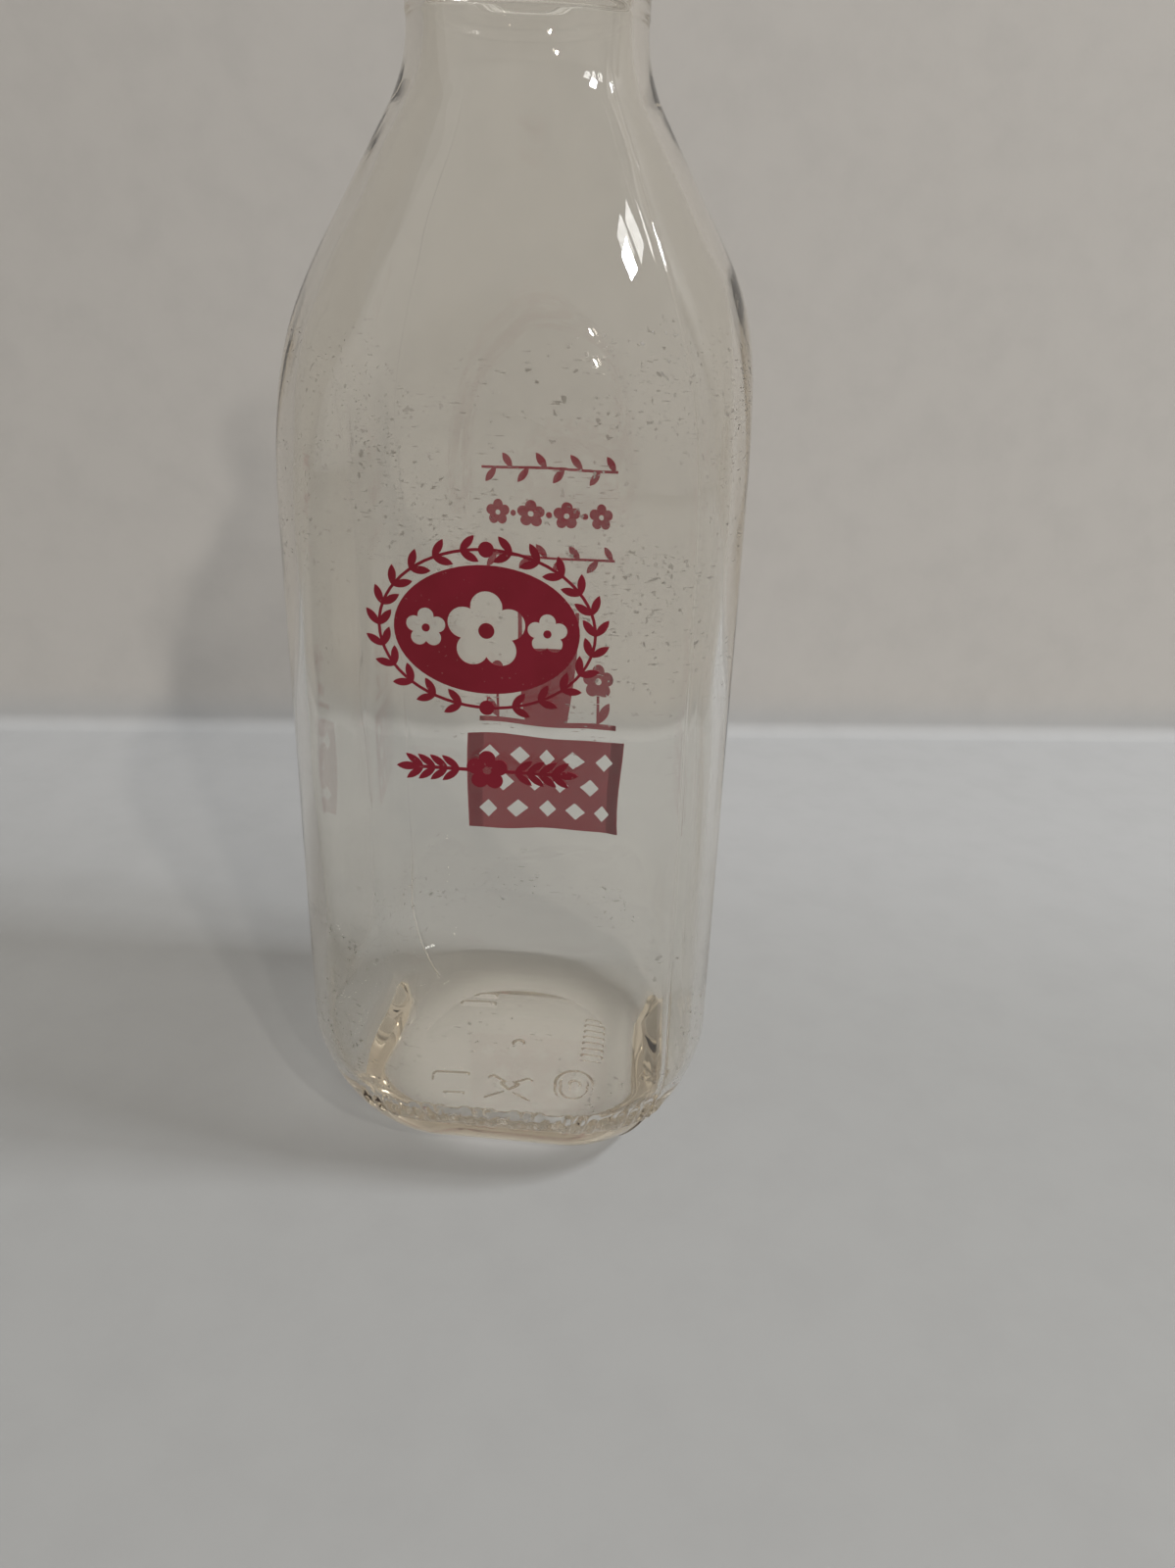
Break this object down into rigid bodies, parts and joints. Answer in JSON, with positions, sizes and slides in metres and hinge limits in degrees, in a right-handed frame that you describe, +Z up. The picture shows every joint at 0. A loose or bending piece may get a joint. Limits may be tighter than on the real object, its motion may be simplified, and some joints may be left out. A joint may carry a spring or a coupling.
{
  "type": "glass milk bottle",
  "caption": "Square-bodied clear glass milk bottle with a long round shoulder, cap-seat lip and crimson fired enamel prints on two panels.",
  "frame": {"origin": "centre of the base, on the surface the bottle stands on", "axes": "+Z up along the bottle's axis, front panel with the medallion faces -Y, +X to the right of that panel"},
  "size_m": [0.084, 0.0842, 0.228],
  "materials": {
    "clear_glass": "clear soda-lime glass, fire-polished, lightly case-worn at the shoulders and heel",
    "crimson_enamel": "fired crimson enamel, semi-gloss, slightly worn"
  },
  "bodies": {
    "root": {"glass_bottle": "clear_glass", "front_medallion": "crimson_enamel", "front_medallion_border": "crimson_enamel", "front_sprig": "crimson_enamel", "rear_garlands": "crimson_enamel", "rear_tumbler": "crimson_enamel", "rear_banner": "crimson_enamel"}
  },
  "joints": []
}
